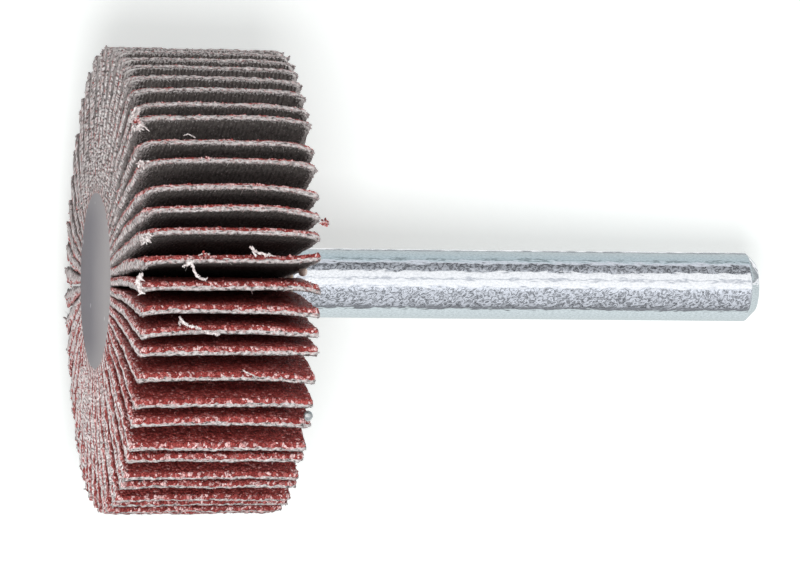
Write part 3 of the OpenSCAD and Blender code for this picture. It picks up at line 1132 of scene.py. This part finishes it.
@dataclass
class LooseThreads:
    """What clings to the cut edges: pulled cotton threads, frayed tufts, and stray grains.

    Attributes:
        pack: The flaps that carry them.
        cotton: Finish of the threads.
        threads: The pulled threads.
    """

    pack: FlapPack
    cotton: LooseCotton = LooseCotton()
    threads: tuple[Pulled, ...] = (
        Pulled("thread_upper", 2, ((9.0, 0.3, 1.25), (9.4, 0.4, 0.80), (10.0, 0.4, 0.58), (10.8, 0.35, 0.50)), 0.115),
        Pulled("thread_upper_fork", 2, ((9.35, 0.4, 0.85), (9.3, 0.5, 0.62), (9.5, 0.4, 0.42)), 0.08),
        Pulled("thread_fleck", 2, ((4.6, 0.2, 0.40), (5.0, 0.3, 0.58), (5.5, 0.25, 0.50)), 0.06),
        Pulled("thread_corner", 1, ((-0.3, 0.0, -0.5), (-0.4, 0.15, 0.1), (-0.7, 0.25, 0.5), (-0.45, 0.3, 0.8),
                                    (-0.25, 0.25, 1.15)), 0.165),
        Pulled("thread_bridge", 1, ((3.7, 0.2, 2.25), (4.0, 0.4, 2.05), (4.2, 0.5, 1.45), (4.4, 0.5, 0.98),
                                    (4.75, 0.4, 0.80), (5.2, 0.3, 0.72)), 0.10),
        Pulled("thread_bridge_top", 1, ((3.3, 0.2, 1.85), (3.8, 0.4, 2.05), (4.15, 0.4, 2.30)), 0.105),
        Pulled("thread_lower", 57, ((3.0, 0.4, 1.55), (3.3, 0.5, 1.10), (3.7, 0.5, 0.80), (4.5, 0.5, 0.68),
                                    (5.0, 0.45, 0.30), (6.0, 0.3, 0.08), (6.6, 0.3, 0.02)), 0.105),
        Pulled("thread_lower_fork", 57, ((3.2, 0.45, 1.2), (2.95, 0.5, 1.05), (3.1, 0.5, 0.85)), 0.07),
        Pulled("thread_loop", 55, ((8.8, 0.1, 0.98), (9.2, 0.3, 0.82), (9.7, 0.3, 0.62), (9.9, 0.25, 0.40)), 0.05),
        Pulled("thread_curl", 7, ((4.0, 0.1, 0.40), (4.35, 0.3, 0.42), (4.6, 0.35, 0.22), (4.9, 0.3, 0.02)), 0.045),
    )

    def _route(self, flap: Flap, points: Sequence[tuple[float, float, float]]) -> Array:
        """Places in the wheel's frame of points told from the flap's tip line."""
        made = np.array(points)
        base = flap.root + flap.height * flap.way + made[:, 1:2] * flap.way + made[:, 2:3] * flap.grit_way
        return np.concatenate([base, (flap.front + flap.rake + made[:, 0])[:, None]], axis=1)

    def _thread(self, route: Array, thick: float, seed: int) -> Patch:
        """One thread along a route, its corners cut twice, with an uneven thickness."""
        path = route
        for _ in range(2):
            near, far = path[:-1] * 0.75 + path[1:] * 0.25, path[:-1] * 0.25 + path[1:] * 0.75
            path = np.concatenate([path[:1], np.stack([near, far], axis=1).reshape(-1, 3), path[-1:]])
        lot = np.random.default_rng(seed)
        path = path + 0.035 * lot.normal(0.0, 1.0, path.shape)
        q = np.linspace(0.0, 1.0, len(path))
        radii = thick * (0.35 + 0.75 * np.sin(np.pi * q) ** 0.5) * lot.uniform(0.7, 1.25, len(path))
        return kept_up(strands(path[:1], np.diff(path, axis=0)[None], radii[None], 6, 0))

    def _fluff(self, route: Array, thick: float, seed: int) -> Patch:
        """Short fibres that stand off a thread every way.

        Args:
            route: Places on the thread's route, in millimetres.
            thick: The thread's radius, in millimetres.
            seed: Draws the fibres.

        Returns:
            The fibres.
        """
        lot = np.random.default_rng(seed)
        count = 22 * (len(route) - 1)
        q = lot.uniform(0.0, len(route) - 1.001, count)
        part = (q % 1.0)[:, None]
        start = route[q.astype(int)] * (1.0 - part) + route[q.astype(int) + 1] * part
        first = lot.normal(0.0, 0.42, (count, 3)) * thick
        ways = np.stack([first, first + lot.normal(0.0, 0.45, (count, 3)) * thick], axis=1)
        radii = thick * lot.uniform(0.30, 0.62, count)[:, None] * np.array([[1.0, 1.0, 0.5]])
        return kept_up(strands(start, ways, radii, 4, 0))

    def _tuft(self, middle: Array, along: Array, size: float, count: int, seed: int) -> Patch:
        """A frayed tuft: short bent strands from about one place.

        Args:
            middle: Where it sits, in millimetres.
            along: The direction it favours.
            size: Size of the tuft, in millimetres.
            count: Number of strands.
            seed: Draws the strands.

        Returns:
            The strands.
        """
        lot = np.random.default_rng(seed)
        start = middle + lot.normal(0.0, size * 0.38, (count, 3))
        first = unit(along + lot.normal(0.0, 0.8, (count, 3)))
        long = lot.uniform(0.10, 0.30, count)[:, None] * size
        ways = np.stack([(first + lot.normal(0.0, 0.45, (count, 3))) * long for _ in range(3)], axis=1)
        thick = lot.uniform(0.05, 0.11, count)[:, None] * np.array([[1.0, 1.0, 0.8, 0.4]])
        return kept_up(strands(start, ways, thick, 4, 0))

    def build(self) -> None:
        """Lays out the threads, the tufts and the stray grains."""
        cotton = self.cotton.material()
        flap = {number: self.pack.flaps[number - 1] for number in (1, 3, 4, 6, 7, 8, 53, 55, 57, 2)}
        for seed, thread in enumerate(self.threads):
            route = self._route(flap[thread.flap], thread.points)
            sheets = [self._thread(route, thread.thick, seed),
                      self._fluff(route, thread.thick, seed + 30)]
            place_piece(as_mesh(thread.name, sheets), [cotton])
        tufts = (("tuft_upper", 3, (0.1, 0.0, -0.45), (0.5, 0.2, -0.8), 0.52, 44),
                 ("tuft_torn", 8, (0.05, 0.0, -0.50), (-0.1, 0.0, -0.9), 0.50, 56),
                 ("tuft_torn_low", 8, (0.25, 0.0, -1.35), (0.3, 0.0, -0.9), 0.46, 40),
                 ("tuft_torn_top", 8, (0.2, 0.1, 0.4), (0.5, 0.1, 0.5), 0.38, 26),
                 ("tuft_high", 6, (0.1, 0.0, -0.4), (0.2, 0.0, -0.9), 0.38, 22))
        for seed, (name, number, point, along, size, count) in enumerate(tufts):
            middle, end = self._route(flap[number], [point, tuple(np.add(point, along))])
            sheet = self._tuft(middle, unit(end - middle), size, count, seed + 60)
            place_piece(as_mesh(name, [sheet]), [cotton])
        self._stray_grains("grains_torn", flap[8], (0.12, 0.30, -1.05), 0.24, 26, 1)
        self._stray_grains("grains_fleck", flap[2], (5.1, 0.3, 0.52), 0.16, 9, 3)
        self._stray_grains("grains_back", flap[4], (15.50, 0.0, -1.35), 0.30, 20, 2)

    def _stray_grains(self, name: str, flap: Flap, point: tuple[float, float, float], spread: float, count: int,
                      seed: int) -> None:
        """A clump of grains that hangs on a flap's tip line.

        Args:
            name: Name of the piece.
            flap: The flap.
            point: Middle of the clump, told from the flap's tip line.
            spread: Size of the clump, in millimetres.
            count: Number of grains.
            seed: Draws the clump.
        """
        lot = np.random.default_rng(seed)
        middle = self._route(flap, [point]) + lot.normal(0.0, spread, (count, 3)) * (0.6, 1.0, 0.6)
        # Their map place past the tip gives them its lighter colours, many of them the painted glint colour.
        sheet = grains(middle, lot.uniform(0.10, 0.17, count), 0, lot, flap.height + 0.1, flap.height + 6.0)
        place_piece(as_mesh(name, [sheet]), [self.pack.grit.material(flap.width, flap.height)])


@dataclass
class ResinDrops:
    """Two stray drops of cast resin on the back edges of the flaps.

    Attributes:
        drops: Name, middle, half sizes and whether it is the grey glassy one.
    """

    drops: tuple[tuple[str, tuple[float, float, float], tuple[float, float, float], bool], ...] = (
        ("drop_amber", (-0.98, -15.2, 15.48), (0.46, 0.55, 0.37), False),
        ("drop_grey", (11.3, -17.1, 15.65), (0.46, 0.44, 0.42), True),
    )

    def build(self) -> None:
        """Makes each drop as a dented ball."""
        for seed, (name, middle, half, grey) in enumerate(self.drops):
            lift = np.linspace(-0.5 * np.pi, 0.5 * np.pi, 11)
            ball = lathe(np.stack([np.cos(lift), np.sin(lift)], axis=1), 18).points
            ball[[0, -1], :, :2] = 0.0
            dent = 1.0 + 0.16 * ripple(ball[..., 0] * 1.7 + 5.0, ball[..., 1] * 1.7 + ball[..., 2] + 5.0, seed + 70)
            points = np.array(middle) + ball * dent[..., None] * np.array(half)
            made = bpy.data.materials.new(f"resin_{name}")
            tree = Tree(made)
            cloudy = tree.noise(tree.node("ShaderNodeTexCoord", {}, {}, "Object"), 2400.0, 2.0)
            dark, pale = ((0.34, 0.36, 0.36), (0.62, 0.63, 0.63)) if grey else ((0.68, 0.52, 0.43), (0.86, 0.74, 0.66))
            tree.surface(Base_Color=tree.mix(cloudy.ramp(0.35, 0.65), dark, pale), Coat_Weight=0.4,
                         Metallic=0.85 if grey else 0.0, Roughness=0.16 if grey else 0.35)
            sheet = Patch(points, np.zeros(points.shape[:2] + (2,)))
            place_piece(as_mesh(name, [sheet]), [made])


@dataclass
class ResinCore:
    """The cast resin: its front disc, hub and rear collar, with a rim that has crept a little between the flaps.

    Attributes:
        lip: How far the disc stands proud of the flaps.
        dome: How far the middle of the disc stands proud of its rim.
        creep: How far resin has crept between the flaps, in millimetres.
        finish: Its finish.
    """

    lip: float = 0.2
    dome: float = 0.2
    creep: float = 0.10
    finish: CastResin = CastResin()
    turns: int = 200

    def build(self) -> None:
        """Turns the outline of the resin, read from the solid's box, and lets its rims waver."""
        low, high = (np.array(corner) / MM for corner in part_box("resin_core"))
        radius, top = float(high[0]), float(high[2])
        heel = self.lip + 0.9
        back = top - 1.4
        bore, floor = 2.9, float(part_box("spindle")[0][2]) / MM + 0.2
        r = np.linspace(0.0, radius, 15)
        dome = [(float(v), float(self.dome * (v / radius) ** 2), 0.0) for v in r]
        outline = divided(rounded([
            *dome[:-1], (radius, self.dome, 0.10), (radius, self.dome + 0.2, 0.0), (radius - 0.45, heel, 0.0),
            (radius - 0.9, heel, 0.0), (radius - 0.9, back - 0.9, 0.0), (radius - 0.45, back - 0.9, 0.0),
            (radius, back, 0.0), (radius - 0.1, back + 0.35, 0.15), (radius - 0.7, back + 0.85, 0.3),
            (3.9, back + 0.9, 0.25), (3.15, top, 0.05), (bore, top, 0.0)]), 0.35)
        outline = np.concatenate([outline, [(bore, floor), (0.0, floor)]])
        angle = np.linspace(0.0, 2.0 * np.pi, self.turns + 1)
        at_rim = smooth((outline[:, 0, None] - (radius - 0.5)) / 0.4)
        edge = ripple(angle[None] * 0.0 + np.cos(angle)[None] * 9.0, np.sin(angle)[None] * 9.0, 3)
        waver = self.creep * at_rim * (0.5 * edge + 0.3 * ripple(np.cos(angle)[None] * 34.0,
                                                                 np.sin(angle)[None] * 34.0, 4))
        place_piece(as_mesh("resin_casting", [lathe(outline, self.turns, waver)]),
                    [self.finish.material()], ["resin_core"])


@dataclass
class Spindle:
    """The turned and plated rod, with softened edges at its chamfer.

    Attributes:
        chamfer: Size of the chamfer at the free end, in millimetres.
        finish: Its finish.
    """

    chamfer: float = 0.9
    finish: ZincPlate = ZincPlate()
    turns: int = 112

    def build(self) -> None:
        """Turns the rod's outline, from the inner end in the resin to the free end."""
        low, high = (np.array(corner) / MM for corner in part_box("spindle"))
        bottom, top = float(low[2]), float(high[2])
        mouth = float(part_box("resin_core")[1][2]) / MM
        grip = float(high[0])
        radius = grip - 0.2
        outline = divided(rounded([
            (0.0, bottom, 0.0), (grip, bottom, 0.2), (grip, mouth, 0.0), (radius, mouth, 0.0),
            (radius, top - self.chamfer, 0.12), (radius - self.chamfer, top, 0.10), (0.0, top, 0.0)]), 1.0)
        place_piece(as_mesh("spindle_rod", [lathe(outline, self.turns)]),
                    [self.finish.material()], ["spindle"])


# The studio


@dataclass
class Studio:
    """Camera, lights, world, floor and backdrop.

    The camera looks across the spindle, a little from the front disc's side, with the shank to the right.

    Attributes:
        away: Distance of the camera from what it looks at, in millimetres.
        tilt: Angle between the sight line and a square-on view of the spindle, in degrees.
        roll: How far the picture is turned, in degrees.
        focal: Focal length in picture pixels, for a picture 800 wide.
        aim: Height on the spindle that the camera looks at, in millimetres.
        nudge: How far the camera is moved right and up, in millimetres.
    """

    away: float = 900.0
    tilt: float = 11.457
    roll: float = 0.533
    focal: float = 10386.0
    aim: float = 26.0
    nudge: tuple[float, float] = (0.962, -0.216)
    sensor: float = 36.0
    picture: int = 800
    backdrop: float = 23.4
    ambient: float = 0.59
    paper: Colour = (0.905, 0.93, 0.92)
    glow: float = 0.33
    floor_glow: float = 0.14
    sheets: list[bpy.types.Object] = field(default_factory=list)

    def axes(self) -> tuple[Array, Array, Array]:
        """The camera's right, up and viewing directions."""
        phi, rho = math.radians(self.tilt), math.radians(self.roll)
        sight = np.array([0.0, math.cos(phi), math.sin(phi)])
        right = np.array([0.0, -math.sin(phi), math.cos(phi)])
        up = np.array([-1.0, 0.0, 0.0])
        return math.cos(rho) * right + math.sin(rho) * up, math.cos(rho) * up - math.sin(rho) * right, sight

    def camera(self) -> None:
        """Makes the camera."""
        right, up, sight = self.axes()
        data = bpy.data.cameras.new("camera")
        data.sensor_width = self.sensor
        data.lens = self.sensor * self.focal / self.picture
        data.clip_start, data.clip_end = 0.01, 20.0
        made = bpy.data.objects.new("camera", data)
        bpy.context.scene.collection.objects.link(made)
        place = np.array([0.0, 0.0, self.aim]) + self.nudge[0] * right + self.nudge[1] * up - self.away * sight
        made.location = place * MM
        made.rotation_euler = Matrix(np.stack([right, up, -sight], axis=1).tolist()).to_euler()
        bpy.context.scene.camera = made

    def lamp(self, name: str, place: Array, size: float, strength: float, on: str) -> None:
        """Adds a square soft light that faces the middle of the wheel.

        Args:
            name: Name of the light.
            place: Where it is, in millimetres.
            size: Its side, in millimetres.
            strength: What it adds to a white surface that faces it, where 1 is white.
            on: "INCLUDE" to light only the paper, "EXCLUDE" to light all but the paper.
        """
        data = bpy.data.lights.new(name, "AREA")
        away = float(np.linalg.norm(np.array(place) - (0.0, 0.0, self.aim)))
        data.size = size * MM
        data.energy = strength * math.pi * math.pi * (away * MM) ** 2
        data.shape = "SQUARE"
        made = bpy.data.objects.new(name, data)
        bpy.context.scene.collection.objects.link(made)
        made.location = np.array(place) * MM
        aim = Vector((0.0, 0.0, self.aim * MM)) - made.location
        made.rotation_mode = "QUATERNION"
        made.rotation_quaternion = aim.to_track_quat("-Z", "Y")
        made.visible_glossy = False
        lit = bpy.data.collections.new(f"{name}_paper")
        for sheet, entry in [(sheet, lit.objects.link(sheet)) for sheet in self.sheets]:
            LOG.info("%s: %s %s", name, on.lower(), sheet.name)
        made.light_linking.receiver_collection = lit
        for entry in lit.collection_objects:
            entry.light_linking.link_state = on

    def world(self) -> None:
        """White to the camera, an even soft light, and long softboxes for what the metal mirrors."""
        made = bpy.data.worlds.new("studio")
        bpy.context.scene.world = made
        tree = Tree(made)
        path = tree.node("ShaderNodeLightPath")
        seen, mirrored = (Wire(tree, path.socket.node.outputs[k]) for k in ("Is Camera Ray", "Is Glossy Ray"))
        x, y, z = tree.split(tree.node("ShaderNodeTexCoord", {}, {}, "Generated"), 3)
        turn = tree.node("ShaderNodeMath", {"operation": "ARCTAN2"}, {0: x, 1: 0.0 - y})
        band = turn / (2.0 * math.pi) + 0.5
        boxes = band.colours([(place, tuple(level * v for v in tint)) for place, level, tint in self.mirrored_room()])
        shelved = band.ramp(0.294, 0.302) - band.ramp(0.374, 0.384)
        shelved = shelved + band.ramp(0.526, 0.540) - band.ramp(0.712, 0.730)
        lines = (band * (2.0 * math.pi / 0.082) + z * (2.0 * math.pi / 0.07)).sine() * shelved * 0.95 + 1.0
        boxes = tree.node("ShaderNodeVectorMath", {"operation": "SCALE"}, {0: boxes, "Scale": lines})
        soft = tree.mix(mirrored, (self.ambient,) * 3, boxes)
        colour = tree.mix(seen, soft, (1.0, 1.0, 1.0))
        tree.finish(tree.node("ShaderNodeBackground", {}, {"Color": colour}), "ShaderNodeOutputWorld")

    @staticmethod
    def mirrored_room() -> list[tuple[float, float, Colour]]:
        """What the metal mirrors, by direction round the spindle: place, level and tint.

        Place 0.5 is towards the camera, 0.25 up in the picture and 0.75 down. The table behind is pale teal, with
        a white and a dark strip beyond it that show when the rod is seen from behind. The room in front has one
        wide softbox between strips of shelving, which the grain turns into specks.
        """
        teal, blue, grey, white = (0.87, 1.02, 1.06), (0.93, 1.02, 1.02), (0.95, 0.98, 1.04), (1.0, 1.0, 1.0)
        return [(0.0, 0.68, blue), (0.034, 0.68, blue), (0.046, 1.10, white), (0.070, 1.10, white),
                (0.082, 0.30, grey), (0.114, 0.62, blue), (0.225, 0.60, teal), (0.238, 0.60, teal),
                (0.243, 0.32, teal), (0.251, 0.32, teal), (0.258, 0.66, teal), (0.283, 0.78, grey),
                (0.293, 0.78, grey), (0.302, 0.26, grey), (0.320, 0.30, grey), (0.355, 0.38, grey),
                (0.375, 0.48, grey), (0.388, 1.05, white), (0.436, 1.12, white), (0.446, 0.70, grey),
                (0.455, 0.70, grey), (0.464, 1.1, white), (0.516, 1.2, white), (0.530, 0.88, grey),
                (0.556, 0.68, grey), (0.600, 0.60, grey), (0.660, 0.58, grey), (0.695, 0.48, grey),
                (0.722, 0.34, grey), (0.746, 0.22, grey), (0.760, 0.82, blue), (1.0, 0.68, blue)]

    def one_sided(self, name: str, glow: float) -> bpy.types.Material:
        """Faintly lit white sheet that only the camera sees, and only from its front, so that it shades nothing.

        Args:
            name: Name of the material.
            glow: Strength of its own light.

        Returns:
            The material.
        """
        made = bpy.data.materials.new(name)
        tree = Tree(made)
        path = tree.node("ShaderNodeLightPath")
        side = tree.node("ShaderNodeNewGeometry", {}, {}, "Backfacing")
        shown = path * (1.0 - side)
        matt = tree.node("ShaderNodeBsdfDiffuse", {}, {"Color": (*self.paper, 1.0)})
        lit = tree.node("ShaderNodeEmission", {}, {"Color": (*self.paper, 1.0), "Strength": glow})
        paper = tree.node("ShaderNodeAddShader", {}, {0: matt, 1: lit})
        clear = tree.node("ShaderNodeBsdfTransparent")
        tree.finish(tree.node("ShaderNodeMixShader", {}, {0: shown, 1: clear, 2: paper}))
        return made

    def sheet(self, name: str, middle: Array, right: Array, up: Array, reach: float, paper: bpy.types.Material) -> None:
        """Adds a large flat sheet, finer near its middle, whose front faces right cross up.

        Args:
            name: Name of the sheet.
            middle: Its middle, in millimetres.
            right: One direction along it.
            up: The other direction along it.
            reach: From the middle to each side, in millimetres.
            paper: Its material.
        """
        t = np.linspace(-1.0, 1.0, 21)
        t = reach * np.sign(t) * np.abs(t) ** 2
        points = middle + t[None, :, None] * right + t[:, None, None] * up
        uv = np.zeros(points.shape[:2] + (2,))
        mesh = as_mesh(name, [Patch(points, uv)])
        mesh.materials.append(paper)
        made = bpy.data.objects.new(name, mesh)
        bpy.context.scene.collection.objects.link(made)
        self.sheets.append(made)

    def build(self) -> None:
        """Sets up the whole studio."""
        scene = bpy.context.scene
        scene.view_settings.view_transform = "Standard"
        right, up, sight = self.axes()
        self.camera()
        self.world()
        ground = self.one_sided("floor_paper", self.glow + self.floor_glow)
        self.sheet("floor", np.array([0.0, 0.0, -0.02]), np.array([1.0, 0, 0]), np.array([0, 1.0, 0]), 3000.0,
                   ground)
        paper = self.one_sided("backdrop_paper", self.glow)
        self.sheet("backdrop", sight * self.backdrop, right, up, 3000.0, paper)
        middle = np.array([0.0, 0.0, self.aim])
        self.lamp("shadow", middle - sight * 620.0 - up * 125.0, 170.0, 0.42, "INCLUDE")
        self.lamp("key", middle - sight * 620.0 + up * 250.0, 260.0, 0.47, "EXCLUDE")
        self.lamp("low", middle - sight * 560.0 - up * 330.0, 260.0, 0.36, "EXCLUDE")
        self.lamp("front", middle - sight * 190.0 - right * 600.0 - up * 330.0, 260.0, 0.54, "EXCLUDE")
        self.lamp("back", middle - sight * 260.0 + right * 560.0 + up * 60.0, 320.0, 0.24, "EXCLUDE")


def main() -> None:
    """Builds the wheel and its studio."""
    logging.basicConfig(level=logging.INFO, format="%(message)s")
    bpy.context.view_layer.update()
    Studio().build()
    Spindle().build()
    ResinCore().build()
    pack = FlapPack()
    pack.build()
    LooseThreads(pack).build()
    ResinDrops().build()


if __name__ == "__main__":
    main()
